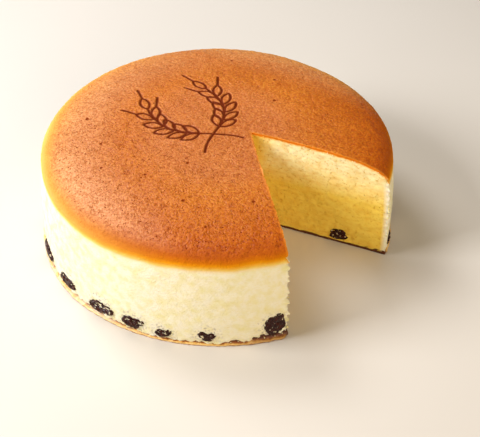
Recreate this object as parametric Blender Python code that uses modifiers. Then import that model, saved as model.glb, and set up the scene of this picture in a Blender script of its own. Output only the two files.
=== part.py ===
"""Souffle cheesecake, 18 cm across, with one wedge taken out and raisins round its foot.

The cake is one turned solid: a straight-sided sponge under a low browned crown, on a thin
browned base skin. The wedge leaves two upright cut faces that meet off the centre. Each raisin
is a wrinkled solid of its own in a pocket of the sponge.

Metres, +Z up. The origin is the centre of the round foot, on the surface that the cake stands on.
"""

import math

import bmesh
import bpy
from mathutils import Matrix, Vector, noise

# Cake, in metres
FOOT_RADIUS = 0.0900
BROWNING_RADIUS = 0.0875
BROWNING_HEIGHT = 0.0466
CAKE_HEIGHT = 0.0574
CROWN_FLATNESS = 5.0
SHOULDER_ROUNDNESS = 2.2
TURNED_STEPS = 72

# Base skin: a thin browned sheet under the sponge, with a narrow groove above its edge
SKIN_HEIGHT = 0.0015
SKIN_OVERHANG = 0.0006
GROOVE_DEPTH = 0.0005
GROOVE_HEIGHT = 0.0008

# Unevenness of a baked thing
OUT_OF_ROUND = 0.0005
CROWN_SWELL = 0.0004
SEED_OFFSET = Vector((3.1, 7.7, 1.9))

# Missing wedge: its tip on the crown, and the directions of its two cut faces
TIP = Vector((0.0169, 0.0001))
LEFT_CUT_DEG = -77.7
RIGHT_CUT_DEG = -21.4
CUT_REACH = 0.098
LEFT_CUT_BOW = 0.0012
CUT_ROUGHNESS = 0.0007
CUT_GRAIN = 0.0090
CUTTER_CELLS = 16
CUTTER_OVERSHOOT = 0.010

# Raisins that show round the foot. Each row: angle round the cake and tilt of the long side in
# degrees, and height of the middle, length along the wall and height in metres.
RIM_RAISINS = [
    (-71.9, 20, 0.0088, 0.0098, 0.0128),
    (-92.0, 14, 0.0063, 0.0088, 0.0072),
    (-105.3, -26, 0.0050, 0.0082, 0.0050),
    (-115.2, -8, 0.0065, 0.0122, 0.0072),
    (-127.2, -6, 0.0064, 0.0160, 0.0076),
    (-143.4, -4, 0.0061, 0.0148, 0.0068),
    (-158.4, 8, 0.0064, 0.0140, 0.0080),
    (-176.0, -14, 0.0062, 0.0104, 0.0078),
    (167.0, 8, 0.0054, 0.0122, 0.0064),
    (148.5, -18, 0.0066, 0.0110, 0.0086),
    (133.0, 4, 0.0054, 0.0134, 0.0066),
    (113.5, 25, 0.0060, 0.0096, 0.0080),
    (98.0, -9, 0.0056, 0.0126, 0.0068),
    (76.5, -20, 0.0068, 0.0108, 0.0092),
    (60.0, 7, 0.0054, 0.0120, 0.0062),
    (41.5, -5, 0.0060, 0.0138, 0.0076),
    (23.0, 16, 0.0056, 0.0098, 0.0072),
    (4.5, -12, 0.0064, 0.0128, 0.0080),
    (-12.5, 10, 0.0056, 0.0104, 0.0066),
]
# Raisins that the knife laid bare: cut face, tilt, distance from the tip, height, length, height
CUT_RAISINS = [
    ("left", 10, 0.0360, 0.0058, 0.0112, 0.0072),
    ("right", -8, 0.0490, 0.0056, 0.0108, 0.0070),
]
RAISIN_DEPTH = 0.0066
RAISIN_SINK = 0.0012
RIM_PROUD = 0.0005
CUT_PROUD = 0.0015
FLATTENED_SHARE = 0.2
RAISIN_SEGMENTS = 14
RAISIN_RINGS = 8
CREASES = 5
WRINKLE = 0.09
POCKET_GAP = 0.00035
POCKET_SEGMENTS = 12
POCKET_RINGS = 7
RAISIN_LOWEST = SKIN_HEIGHT + 0.0004


def clear_scene():
    for obj in list(bpy.data.objects):
        bpy.data.objects.remove(obj, do_unlink=True)


def new_collection(name):
    collection = bpy.data.collections.new(name)
    bpy.context.scene.collection.children.link(collection)
    return collection


def add_object(name, mesh, collection):
    obj = bpy.data.objects.new(name, mesh)
    collection.objects.link(obj)
    return obj


def principled(name, colour, roughness):
    material = bpy.data.materials.new(name)
    material.use_nodes = True
    shader = material.node_tree.nodes["Principled BSDF"]
    shader.inputs["Base Color"].default_value = (*colour, 1.0)
    shader.inputs["Roughness"].default_value = roughness
    shader.inputs["Metallic"].default_value = 0.0
    material.diffuse_color = (*colour, 1.0)
    return material


def evaluated_mesh(obj, name):
    """The object's mesh with its modifiers in it, as a mesh of its own."""
    bpy.context.view_layer.update()
    graph = bpy.context.evaluated_depsgraph_get()
    mesh = bpy.data.meshes.new_from_object(obj.evaluated_get(graph))
    mesh.name = name
    return mesh


def crown_height(radius):
    """Height of the top at this distance from the axis: nearly flat, then a round shoulder."""
    share = min(radius / BROWNING_RADIUS, 1.0)
    fall = (1.0 - share**CROWN_FLATNESS) ** (1.0 / SHOULDER_ROUNDNESS)
    return BROWNING_HEIGHT + (CAKE_HEIGHT - BROWNING_HEIGHT) * fall


def wall_radius(height):
    """Radius of the side, which draws in a little towards the browning."""
    share = min(max(height / BROWNING_HEIGHT, 0.0), 1.0)
    return FOOT_RADIUS - (FOOT_RADIUS - BROWNING_RADIUS) * share**2.6


def cake_profile():
    """(radius, height) from the middle of the top, down the outside, to the middle of the foot."""
    crown_steps, wall_steps = 11, 7
    points = [(0.0, crown_height(0.0))]
    points += [(r, crown_height(r)) for r in (0.013, 0.026)]
    for i in range(1, crown_steps + 1):
        turn = math.sin(math.radians(90.0 * i / crown_steps))
        radius = BROWNING_RADIUS * turn ** (2.0 / CROWN_FLATNESS)
        points.append((radius, crown_height(radius)))
    groove_top = SKIN_HEIGHT + GROOVE_HEIGHT
    for i in range(1, wall_steps + 1):
        height = BROWNING_HEIGHT + (groove_top - BROWNING_HEIGHT) * i / wall_steps
        points.append((wall_radius(height), height))
    skin_radius = FOOT_RADIUS + SKIN_OVERHANG
    points.append((FOOT_RADIUS - GROOVE_DEPTH, SKIN_HEIGHT + 0.4 * GROOVE_HEIGHT))
    points.append((skin_radius, SKIN_HEIGHT))
    points.append((skin_radius, 0.25 * SKIN_HEIGHT))
    points.append((skin_radius - 0.25 * SKIN_HEIGHT, 0.0))
    points.append((0.0, 0.0))
    return points


def turned_cake():
    """The whole round cake as a closed mesh, slightly out of round and uneven on top."""
    mesh = bpy.data.meshes.new("turned_profile")
    points = [(radius, 0.0, height) for radius, height in cake_profile()]
    edges = [(i, i + 1) for i in range(len(points) - 1)]
    mesh.from_pydata(points, edges, [])
    turned = add_object("turned_profile", mesh, bpy.context.scene.collection)
    screw = turned.modifiers.new("turn", "SCREW")
    screw.steps = TURNED_STEPS
    screw.render_steps = TURNED_STEPS
    screw.use_merge_vertices = True
    screw.merge_threshold = 0.00001
    cake = evaluated_mesh(turned, "cheesecake")
    bpy.data.objects.remove(turned)

    for vertex in cake.vertices:
        x, y, z = vertex.co
        angle = math.atan2(y, x)
        radius = math.hypot(x, y)
        rise = min(z / BROWNING_HEIGHT, 1.0)
        push = OUT_OF_ROUND * (math.cos(2 * angle + 0.6) + 0.6 * math.cos(3 * angle - 1.1)) * rise
        grown = 1.0 + push / FOOT_RADIUS
        vertex.co.x = x * grown
        vertex.co.y = y * grown
        if z > BROWNING_HEIGHT:
            inward = 1.0 - radius / (2.2 * BROWNING_RADIUS)
            bump = noise.noise(Vector((x, y, 0.0)) / 0.034 + SEED_OFFSET)
            vertex.co.z = z + CROWN_SWELL * bump * inward * 2.0
    return cake


def cut_direction(degrees):
    angle = math.radians(degrees)
    return Vector((math.cos(angle), math.sin(angle)))


def wedge_cutter(collection):
    """The missing wedge: a subdivided box bent into a sector, its two sides rough as torn crumb."""
    bm = bmesh.new()
    bmesh.ops.create_cube(bm, size=1.0, matrix=Matrix.Translation((0.5, 0.5, 0.5)))
    bmesh.ops.subdivide_edges(bm, edges=bm.edges[:], cuts=CUTTER_CELLS - 1, use_grid_fill=True)
    low, high = -CUTTER_OVERSHOOT, CAKE_HEIGHT + CUTTER_OVERSHOOT
    for vertex in bm.verts:
        across, along, up = vertex.co
        degrees = LEFT_CUT_DEG + (RIGHT_CUT_DEG - LEFT_CUT_DEG) * across
        direction = cut_direction(degrees)
        reach = CUT_REACH * along
        side = Vector((direction.y, -direction.x))
        height = low + (high - low) * up
        offset = 0.0
        if across < 0.001:
            offset = LEFT_CUT_BOW * 4.0 * along * (1.0 - along)
        if (across < 0.001 or across > 0.999) and along > 0.001:
            place = Vector((reach, height, 10.0 * across)) / CUT_GRAIN + SEED_OFFSET
            offset += CUT_ROUGHNESS * noise.noise(place)
        flat = TIP + direction * reach + side * offset
        vertex.co = (flat.x, flat.y, height)
    bmesh.ops.remove_doubles(bm, verts=bm.verts[:], dist=0.00001)
    bmesh.ops.recalc_face_normals(bm, faces=bm.faces[:])
    mesh = bpy.data.meshes.new("wedge_cutter")
    bm.to_mesh(mesh)
    bm.free()
    return add_object("wedge_cutter", mesh, collection)


def ellipsoid(name, size, segments, rings):
    """A round solid with its poles along X, as a bmesh."""
    bm = bmesh.new()
    bmesh.ops.create_uvsphere(bm, u_segments=segments, v_segments=rings, radius=0.5)
    bmesh.ops.rotate(bm, verts=bm.verts[:], matrix=Matrix.Rotation(math.radians(90), 3, "Y"))
    bmesh.ops.scale(bm, verts=bm.verts[:], vec=size)
    return bm


def finished_mesh(bm, name):
    mesh = bpy.data.meshes.new(name)
    bm.to_mesh(mesh)
    bm.free()
    return mesh


def raisin_mesh(name, size, proud, seed):
    """A raisin creased along X, and pressed flat on its outer side, which faces -Y."""
    bm = ellipsoid(name, size, RAISIN_SEGMENTS, RAISIN_RINGS)
    flat = -(RAISIN_SINK + proud)
    for vertex in bm.verts:
        share = Vector((vertex.co.x / size[0], vertex.co.y / size[1], vertex.co.z / size[2]))
        turn = math.atan2(share.z, share.y)
        crease = 0.5 - 0.5 * math.cos(CREASES * turn + 2.0 * share.x + seed)
        dent = max(noise.noise(share * 4.0 + Vector((seed, 0.0, 0.0))), 0.0)
        vertex.co *= 1.0 - WRINKLE * (crease + dent)
        if vertex.co.y < flat:
            vertex.co.y = flat + (vertex.co.y - flat) * FLATTENED_SHARE
    mesh = finished_mesh(bm, name)
    mesh.shade_smooth()
    return mesh


def pocket_mesh(name, size):
    """The hollow round a raisin. Its flat facets stay clear of the raisin by the gap."""
    facet_inset = math.cos(math.pi / POCKET_SEGMENTS) * math.cos(math.pi / (2 * POCKET_RINGS))
    roomy = [side / facet_inset + 2.0 * POCKET_GAP for side in size]
    return finished_mesh(ellipsoid(name, roomy, POCKET_SEGMENTS, POCKET_RINGS), name)


def raisin_places():
    """(outward direction, point on the face, tilt, height, length, tall, proud) of each raisin."""
    for degrees, tilt, height, length, tall in RIM_RAISINS:
        out = cut_direction(degrees)
        yield out, out * wall_radius(height), tilt, height, length, tall, RIM_PROUD
    for face, tilt, distance, height, length, tall in CUT_RAISINS:
        along = cut_direction(LEFT_CUT_DEG if face == "left" else RIGHT_CUT_DEG)
        turn = 1.0 if face == "left" else -1.0
        out = Vector((-along.y, along.x)) * turn
        yield out, TIP + along * distance, tilt, height, length, tall, CUT_PROUD


def raisin_matrix(out, point, tilt, height, length, tall):
    """X runs along the face, Y into the cake and Z upwards, tilted about Y."""
    inward = Vector((-out.x, -out.y, 0.0))
    up = Vector((0.0, 0.0, 1.0))
    frame = Matrix((inward.cross(up), inward, up)).transposed()
    lean = math.radians(tilt)
    reach_down = math.hypot(length / 2 * math.sin(lean), tall / 2 * math.cos(lean))
    middle = point - out * RAISIN_SINK
    matrix = (frame @ Matrix.Rotation(lean, 3, "Y")).to_4x4()
    matrix.translation = Vector((middle.x, middle.y, max(height, RAISIN_LOWEST + reach_down)))
    return matrix


def add_raisins(collection, cutters, material):
    """Each raisin, and the pocket that it sits in as a cutter."""
    pockets = []
    for i, (out, point, tilt, height, length, tall, proud) in enumerate(raisin_places(), start=1):
        size = (length, RAISIN_DEPTH, tall)
        matrix = raisin_matrix(out, point, tilt, height, length, tall)
        mesh = raisin_mesh(f"raisin_{i:02d}", size, proud, 1.7 * i)
        mesh.materials.append(material)
        raisin = add_object(f"raisin_{i:02d}", mesh, collection)
        raisin.matrix_world = matrix
        pocket = add_object(f"pocket_{i:02d}", pocket_mesh(f"pocket_{i:02d}", size), cutters)
        pocket.matrix_world = matrix
        pockets.append(pocket)
    return pockets


def add_cake(collection, cutters, pockets, material):
    """The turned cake less the wedge and the raisins' pockets."""
    mesh = turned_cake()
    mesh.materials.append(material)
    cake = add_object("cheesecake", mesh, collection)
    for cutter in [wedge_cutter(cutters), *pockets]:
        cut = cake.modifiers.new(cutter.name, "BOOLEAN")
        cut.operation = "DIFFERENCE"
        cut.object = cutter
        cutter.hide_render = True
        cutter.display_type = "WIRE"
    return cake


def main():
    clear_scene()
    cake_parts = new_collection("souffle_cheesecake")
    cutters = new_collection("cutters")
    sponge = principled("sponge", (0.88, 0.72, 0.40), 0.75)
    raisin_skin = principled("raisin_skin", (0.030, 0.014, 0.012), 0.38)
    pockets = add_raisins(cake_parts, cutters, raisin_skin)
    add_cake(cake_parts, cutters, pockets, sponge)


main()
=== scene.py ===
# Souffle cheesecake, 18 cm across, one wedge gone: browned crown, cream crumb, base skin, raisins.
# All sizes in the dictionaries are millimetres, and mm turns them into Blender's metres.
import functools
import math
import random

import bmesh
import bpy
import numpy as np
from mathutils import Matrix, Vector, kdtree, noise


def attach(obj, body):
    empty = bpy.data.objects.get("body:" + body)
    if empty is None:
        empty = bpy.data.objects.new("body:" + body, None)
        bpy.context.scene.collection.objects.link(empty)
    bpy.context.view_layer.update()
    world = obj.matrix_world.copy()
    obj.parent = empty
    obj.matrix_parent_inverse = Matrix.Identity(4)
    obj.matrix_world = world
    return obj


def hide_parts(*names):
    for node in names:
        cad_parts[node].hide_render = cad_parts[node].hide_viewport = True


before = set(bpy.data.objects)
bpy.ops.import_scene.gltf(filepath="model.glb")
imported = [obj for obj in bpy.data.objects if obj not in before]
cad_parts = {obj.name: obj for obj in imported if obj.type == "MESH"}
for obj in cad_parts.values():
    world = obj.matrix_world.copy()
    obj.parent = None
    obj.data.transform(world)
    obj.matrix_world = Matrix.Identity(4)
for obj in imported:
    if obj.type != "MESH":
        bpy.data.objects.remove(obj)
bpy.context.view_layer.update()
print("stage 0: frame loaded")

mm = 0.001

cake = {
    "footRadius": 90.0,
    "browningRadius": 87.5,  # where the brown crown meets the cream side
    "browningHeight": 46.6,
    "height": 57.4,
    "crownFlatness": 5.0,
    "shoulderRoundness": 2.2,
    "wallDraw": 2.6,  # how late up the side it starts to draw in
    "tip": (16.9, 0.1),
    "leftCut": -77.7,  # degrees from +X
    "rightCut": -21.4,
    "leftBow": 1.2,
    "bowReach": 98.0,
    "bowFade": 30.0,  # degrees from the left cut over which the side follows its bow
    "outOfRound": 0.5,
    "crownSwell": 0.4,
    "swellGrain": 34.0,
    "turnCells": 390,
    "crownCells": 92,
    "wallCells": 64,
    "hidden": 99.0,  # depth value of the faces turned in under the foot
    "unbaked": -40.0,  # mm past the browning edge where no browning reaches
    "sharpAngle": 62.0,
}
tip = np.array(cake["tip"])

footEdge = {
    "lowest": 1.25,  # where the torn lower edge of the cream crumb hangs over the base skin
    "highest": 3.9,
    "teeth": 2.6,
    "patches": 17.0,
    "undercut": 0.8,
    "underDrop": 0.15,
    "bottom": 0.7,
    "onCut": 1.7,
    # (degrees round the foot, how far the edge is torn up there) where the photo shows it
    "shown": [(-168.0, 0.30), (-152.0, 0.15), (-150.5, 0.30), (-137.0, 0.35), (-134.0, 0.0), (-121.0, 0.25),
              (-111.0, 0.10), (-102.0, 0.25), (-96.0, 0.10), (-89.0, 0.15), (-87.5, 0.40), (-84.0, 0.50),
              (-81.5, 0.45), (-80.3, 0.0), (-78.9, 0.0), (-77.6, 0.60), (-75.5, 0.95), (-66.0, 1.20)],
}


def wayAt(degrees):  # level direction, in degrees from +X
    return np.array([math.cos(math.radians(degrees)), math.sin(math.radians(degrees))])


def profileHeight(radius):  # crown height at a distance from the axis
    share = np.clip(radius / cake["browningRadius"], 0.0, 1.0)
    fall = (1.0 - share ** cake["crownFlatness"]) ** (1.0 / cake["shoulderRoundness"])
    return cake["browningHeight"] + (cake["height"] - cake["browningHeight"]) * fall


def bowed(share):  # how far the knife's bowed cut lies off the straight line
    return cake["leftBow"] * 4.0 * share * (1.0 - share)


def wallRadius(height):
    share = np.clip(np.asarray(height) / cake["browningHeight"], 0.0, 1.0)
    return cake["footRadius"] - (cake["footRadius"] - cake["browningRadius"]) * share ** cake["wallDraw"]


def reach(direction, radius):  # from the tip to the circle of that radius
    along = direction @ tip
    return -along + np.sqrt(along ** 2 - tip @ tip + np.asarray(radius) ** 2)


def fractal(x, y, z, grain, octaves=2):
    return noise.fractal(Vector((x / grain, y / grain, z / grain)), 0.9, 2.1, octaves)


def smooth(low, high, value):
    t = np.clip((np.asarray(value, float) - low) / (high - low), 0.0, 1.0)
    return t * t * (3.0 - 2.0 * t)


def addFloats(mesh, name, values):  # a value for each point, which the materials read
    mesh.attributes.new(name, "FLOAT", "POINT").data.foreach_set("value", values)


def addPiece(name, data):
    piece = bpy.data.objects.new(name, data)
    bpy.context.scene.collection.objects.link(piece)
    return piece


# Cake body

def footHeight(angle):  # lower edge of the cream crumb on the side: torn and patchy
    x, y = cake["footRadius"] * math.cos(angle), cake["footRadius"] * math.sin(angle)
    degrees, shares = zip(*footEdge["shown"])
    patch = float(smooth(-0.15, 0.55, noise.noise(Vector((x, y, 5.0)) / footEdge["patches"])))
    if degrees[0] < math.degrees(angle) < degrees[-1] + 2.0:
        patch = float(np.interp(math.degrees(angle), degrees, shares))
    teeth = 0.5 + 0.5 * fractal(x, y, 3.0, footEdge["teeth"])
    rise = patch * (0.55 + 0.45 * teeth) + 0.16 * teeth
    return footEdge["lowest"] + (footEdge["highest"] - footEdge["lowest"]) * min(max(rise, 0.0), 1.0)


# Along one ray from the tip: distances from the tip, heights and distances past the browning edge
def rayProfile(direction, foot, splitRadius):
    q = np.linspace(0.0, 1.0, 500)
    out = (1.0 - (1.0 - q) ** 3) * reach(direction, cake["browningRadius"])
    points = tip + out[:, None] * direction
    crown = profileHeight(np.hypot(points[:, 0], points[:, 1]))
    wallZ = np.linspace(cake["browningHeight"], foot, 120)[1:]
    t = np.concatenate([out, reach(direction, wallRadius(wallZ))])
    z = np.concatenate([crown, wallZ])
    length = np.concatenate([[0.0], np.cumsum(np.hypot(np.diff(t), np.diff(z)))])
    browned = length[len(out) - 1]
    split = np.interp(reach(direction, splitRadius), out, length[: len(out)])
    rows = np.concatenate([
        np.linspace(0.0, split, cake["crownCells"] + 1),
        np.linspace(split, length[-1], cake["wallCells"] + 1)[1:],
    ])
    return np.interp(rows, length, t), np.interp(rows, length, z), browned - rows


def shoulderSplit():  # radius where the crown has turned down by 45 degrees
    r = np.linspace(0.0, cake["browningRadius"] * 0.9999, 4000)
    slope = np.gradient(profileHeight(r), r)
    return float(r[np.argmax(slope < -1.0)])


def bodyPoints():  # the outer skin's points by ray and row, and how far each is from the browning edge
    degrees = np.linspace(cake["rightCut"], cake["leftCut"] + 360.0, cake["turnCells"] + 1)
    split = shoulderSplit()
    grid, rim = [], []
    for deg in degrees:
        direction = wayAt(deg)
        onRim = tip + reach(direction, cake["footRadius"]) * direction
        foot = footHeight(math.atan2(onRim[1], onRim[0]))
        t, z, edge = rayProfile(direction, foot, split)
        side = np.array([direction[1], -direction[0]])
        nearLeft = smooth(cake["bowFade"], 0.0, degrees[-1] - deg)
        bow = bowed(t / cake["bowReach"]) * nearLeft
        xy = tip + t[:, None] * direction + bow[:, None] * side
        grid.append(np.column_stack([xy, z]))
        rim.append(edge)
    return np.array(grid), np.array(rim)


# Fills one cut face between its four edges: top and foot run out from the tip, wall and tipLine run down
def cutFace(top, wall, tipLine, foot):
    u = np.linspace(0.0, 1.0, len(top))[:, None, None]
    v = np.linspace(0.0, 1.0, len(wall))[None, :, None]
    ruledV = (1 - v) * top[:, None] + v * foot[:, None]
    ruledU = (1 - u) * tipLine[None] + u * wall[None]
    nearTip = (1 - u) * (1 - v) * top[0] + (1 - u) * v * foot[0]
    nearWall = u * (1 - v) * top[-1] + u * v * foot[-1]
    return ruledV + ruledU - nearTip - nearWall


def ringFaces(index):  # quads of a grid of vertex numbers
    a, b, c, d = index[:-1, :-1], index[1:, :-1], index[1:, 1:], index[:-1, 1:]
    return np.stack([a, b, c, d], axis=-1).reshape(-1, 4)


def cleaned(faces):  # drops repeated corners, where a grid shrinks to a point
    kept = []
    for face in faces.tolist():
        corners = [v for k, v in enumerate(face) if v != face[k - 1]]
        if len(corners) > 2:
            kept.append(corners)
    return kept


def makeCakeBody():
    grid, rim = bodyPoints()
    rays, rows = grid.shape[:2]
    crown, walls = cake["crownCells"], cake["wallCells"]
    points, rimValues, depths = [], [], []

    def store(block, rimBlock, depthBlock):
        start = sum(len(p) for p in points)
        flat = block.reshape(-1, 3)
        points.append(flat)
        rimValues.append(np.broadcast_to(rimBlock, block.shape[:-1]).reshape(-1))
        depths.append(np.broadcast_to(depthBlock, block.shape[:-1]).reshape(-1))
        return start + np.arange(len(flat)).reshape(block.shape[:-1])

    tipIndex = store(grid[0:1, 0:1], rim[0:1, 0:1], 0.0)
    skin = np.empty((rays, rows), int)
    skin[:, 0] = tipIndex[0, 0]
    skin[:, 1:] = store(grid[:, 1:], rim[:, 1:], 0.0)

    tipLow = np.array([*tip, footEdge["onCut"]])
    drop = np.linspace(0.0, 1.0, walls + 1)[:, None]
    tipLine = (1 - drop) * grid[0, 0] + drop * tipLow
    tipColumn = np.empty(walls + 1, int)
    tipColumn[0] = tipIndex[0, 0]
    tipColumn[1:] = store(tipLine[None, 1:], cake["unbaked"], tipLine[None, 0, 2] - tipLine[None, 1:, 2])[0]

    faces = [("skin", ringFaces(skin))]
    cutIndexes = []
    for ray in (0, rays - 1):
        top, wall = grid[ray, : crown + 1], grid[ray, crown:]
        foot = top.copy()
        out = np.hypot(*(top - top[0])[:, :2].T)
        wallFoot = np.hypot(*(wall[-1] - top[0])[:2])
        direction = (wall[-1] - top[0])[:2] / wallFoot
        foot[:, :2] = top[0, :2] + (out / out[-1] * wallFoot)[:, None] * direction
        rise = smooth(0.85, 1.0, out / out[-1])
        foot[:, 2] = footEdge["onCut"] + (wall[-1, 2] - footEdge["onCut"]) * rise
        face = cutFace(top, wall, tipLine, foot)
        index = np.empty(face.shape[:2], int)
        inner = face[1:-1, 1:]
        flat = inner.reshape(-1, 3)
        nearest, nearRim = np.empty(len(flat)), np.empty(len(flat))
        for start in range(0, len(flat), 2000):
            block = flat[start : start + 2000]
            gaps = np.linalg.norm(block[:, None] - grid[ray][None], axis=2)
            nearest[start : start + 2000] = gaps.min(axis=1)
            nearRim[start : start + 2000] = rim[ray][gaps.argmin(axis=1)]
        index[1:-1, 1:] = store(inner, nearRim.reshape(inner.shape[:2]), nearest.reshape(inner.shape[:2]))
        index[:, 0] = skin[ray, : crown + 1]
        index[-1, :] = skin[ray, crown:]
        index[0, :] = tipColumn
        cutIndexes.append(index)
        quads = ringFaces(index)
        faces.append(("cut", quads[:, ::-1] if ray == 0 else quads))

    # The crumb turns in under its torn lower edge and closes with a hidden flat bottom.
    loop = np.concatenate([skin[:, -1], cutIndexes[1][-2::-1, -1], cutIndexes[0][1:-1, -1]])
    edge = np.concatenate(points)[loop]
    leftTurn, rightTurn = math.radians(cake["leftCut"]), math.radians(cake["rightCut"])
    leftIn = np.array([math.sin(leftTurn), -math.cos(leftTurn), 0.0])
    rightIn = np.array([-math.sin(rightTurn), math.cos(rightTurn), 0.0])
    inward = -edge * [1.0, 1.0, 0.0] / cake["footRadius"]
    inward[rays : rays + crown] = leftIn
    inward[rays + crown :] = rightIn
    inward[[0, rays - 1, rays + crown - 1]] += [rightIn, leftIn, rightIn]
    inward /= np.linalg.norm(inward, axis=1)[:, None]
    under = edge + inward * footEdge["undercut"]
    under[:, 2] = edge[:, 2] - footEdge["underDrop"]
    low = under.copy()
    low[:, 2] = footEdge["bottom"]
    underIndex, lowIndex = [store(ring[None], cake["unbaked"], cake["hidden"])[0] for ring in (under, low)]
    for first, second in ((loop, underIndex), (underIndex, lowIndex)):
        ring = np.column_stack([np.append(first, first[0]), np.append(second, second[0])])
        faces.append(("cut", ringFaces(ring)))

    polygons, slots = [], []
    for kind, block in faces:
        shapes = cleaned(block)
        polygons += shapes
        slots += [0 if kind == "skin" else 1] * len(shapes)
    polygons.append(lowIndex[::-1].tolist())
    slots.append(1)

    mesh = bpy.data.meshes.new("cakeBody")
    mesh.from_pydata(np.concatenate(points) * mm, [], polygons)
    mesh.polygons.foreach_set("material_index", slots)
    addFloats(mesh, "rim", np.concatenate(rimValues))
    addFloats(mesh, "depth", np.concatenate(depths))
    mesh.update()
    return addPiece("cakeBody", mesh)


# Burnt mark: two ears of wheat crossed at the stems, pressed into the crown with a hot iron

mark = {
    "centre": (-13.0, 16.0),
    "turn": 33.0,  # degrees, anticlockwise seen from above
    "lineWidth": 1.45,
    "grooveDepth": 0.42,
    "pairs": 5,
    "grainLength": 9.6,
    "grainWidth": 4.4,
    "grainSplay": 33.0,
    "awnLength": 8.0,
    "near": 1.4,  # the crown's mesh is made finer within this distance of a line
    "cuts": 2,
    "lip": 0.10,  # mm, the crust raised along both sides of a groove
}


def bezier(points, count):
    a, b, c, d = [np.array(p, float) for p in points]
    t = np.linspace(0.0, 1.0, count)[:, None]
    return (1 - t) ** 3 * a + 3 * (1 - t) ** 2 * t * b + 3 * (1 - t) * t ** 2 * c + t ** 3 * d


def grainOutline(base, heading):  # a pointed oval
    along = wayAt(heading)
    across = np.array([-along[1], along[0]])
    t = np.linspace(0.0, 1.0, 25)
    half = mark["grainWidth"] / 2 * np.sin(math.pi * t) ** 0.75
    spine = base + (t * mark["grainLength"])[:, None] * along
    left, right = spine + half[:, None] * across, spine - half[:, None] * across
    return np.concatenate([left, right[::-1]])


def markLines():
    lines = []
    for side in (-1, 1):
        stem = bezier([(-11 * side, -31), (-2 * side, -17), (24 * side, -16), (17 * side, 15)], 90)
        lines.append(stem)
        last = len(stem) - 1
        for k, share in enumerate(np.linspace(0.42, 1.0, mark["pairs"] + 1)):
            i = min(int(share * last), last - 1)
            heading = math.degrees(math.atan2(*(stem[i + 1] - stem[i])[::-1]))
            splays = (0.0,) if k == mark["pairs"] else (mark["grainSplay"], -mark["grainSplay"])
            for splay in splays:
                away = wayAt(heading + splay)
                root = stem[i] + away * (0.9 if splay else 0.3)
                lines.append(grainOutline(root, heading + splay))
                if k >= mark["pairs"] - 1:
                    start = root + away * mark["grainLength"]
                    lines.append(np.array([start, start + away * mark["awnLength"]]))
    turn = math.radians(mark["turn"])
    spin = np.array([[math.cos(turn), -math.sin(turn)], [math.sin(turn), math.cos(turn)]])
    return [line @ spin.T + np.array(mark["centre"]) for line in lines]


def dense(line, step=0.15):
    pieces = []
    for a, b in zip(line[:-1], line[1:]):
        count = max(int(np.linalg.norm(b - a) / step), 1)
        pieces.append(a + (b - a) * np.linspace(0.0, 1.0, count, endpoint=False)[:, None])
    return np.concatenate(pieces + [line[-1:]])


def lineTree():
    points = np.concatenate([dense(line) for line in markLines()])
    tree = kdtree.KDTree(len(points))
    for i, (x, y) in enumerate(points):
        tree.insert((x, y, 0.0), i)
    tree.balance()
    return tree


def pressMark(bm):  # makes the crown finer near the lines and sinks the grooves
    tree = lineTree()

    def gap(co):
        return tree.find((co.x / mm, co.y / mm, 0.0))[2]

    crownFaces = [f for f in bm.faces if f.material_index == 0 and f.normal.z > 0.7]
    near = [f for f in crownFaces if gap(f.calc_center_median()) < mark["near"]]
    edges = list({e for f in near for e in f.edges})
    bmesh.ops.subdivide_edges(bm, edges=edges, cuts=mark["cuts"], use_grid_fill=True)
    burn = bm.verts.layers.float.new("burn")
    half = mark["lineWidth"] / 2
    for v in bm.verts:
        if v.co.z < cake["browningHeight"] * mm:
            continue
        away = gap(v.co)
        if away > 3 * half:
            continue
        inside = 1.0 - float(smooth(half - 0.35, half + 0.25, away))
        v[burn] = inside
        lip = mark["lip"] * math.exp(-((away - half - 0.45) / 0.35) ** 2)
        v.co.z += (lip - mark["grooveDepth"] * inside) * mm


# Raisins: places come from the frame's nodes, wrinkles are made here

raisin = {
    "subdivisions": 5,
    "foldDepth": 0.13,
    "fineDepth": 0.035,
    "boxiness": 0.55,
    "proud": {"raisin_07": 1.9, "raisin_01": 0.6},
    "proudOthers": 0.52,
    "grown": {"raisin_07": 1.08, "raisin_01": 1.10, "raisin_03": 1.12, "raisin_04": 1.08},
    "aside": {"raisin_01": 1.2, "raisin_07": -1.0},  # mm along the foot towards the cut
    "flattened": 0.42,
    "openFold": 0.8,
    "wrinkle": 0.55,
    "lumps": 0.15,
    "knobs": 0.6,  # mm, the uneven swellings of the pressed side
    # bays in the outlines that the photo shows: (degrees from the right, depth, width in degrees)
    "bays": {
        "raisin_01": [(150, 0.16, 22), (-60, 0.10, 25)],
        "raisin_02": [(95, 0.62, 26), (-20, 0.25, 25)],
        "raisin_03": [(70, 0.34, 18), (200, 0.15, 25)],
        "raisin_04": [(-35, 0.40, 20), (75, 0.15, 15)],
        "raisin_05": [(62, 0.26, 10), (88, 0.22, 9), (118, 0.20, 10), (-75, 0.25, 14)],
        "raisin_06": [(85, 0.34, 22), (-80, 0.18, 20)],
        "raisin_07": [(60, 0.45, 18), (-110, 0.15, 25)],
    },
    # hollows filled with batter: (right, up, radius) as shares of the half sizes
    "dips": {
        "raisin_03": [(-0.35, 0.25, 0.16), (0.45, 0.15, 0.12)],
        "raisin_04": [(0.68, 0.05, 0.20), (-0.35, 0.38, 0.15), (0.12, 0.30, 0.12), (-0.1, -0.45, 0.10)],
        "raisin_05": [(0.02, 0.10, 0.15), (0.50, 0.38, 0.20), (-0.08, 0.55, 0.18), (0.27, 0.08, 0.11),
                      (-0.45, -0.05, 0.10)],
        "raisin_06": [(-0.30, 0.30, 0.15), (0.35, -0.1, 0.12)],
    },
    "dipDepth": 1.5,
}


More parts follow.
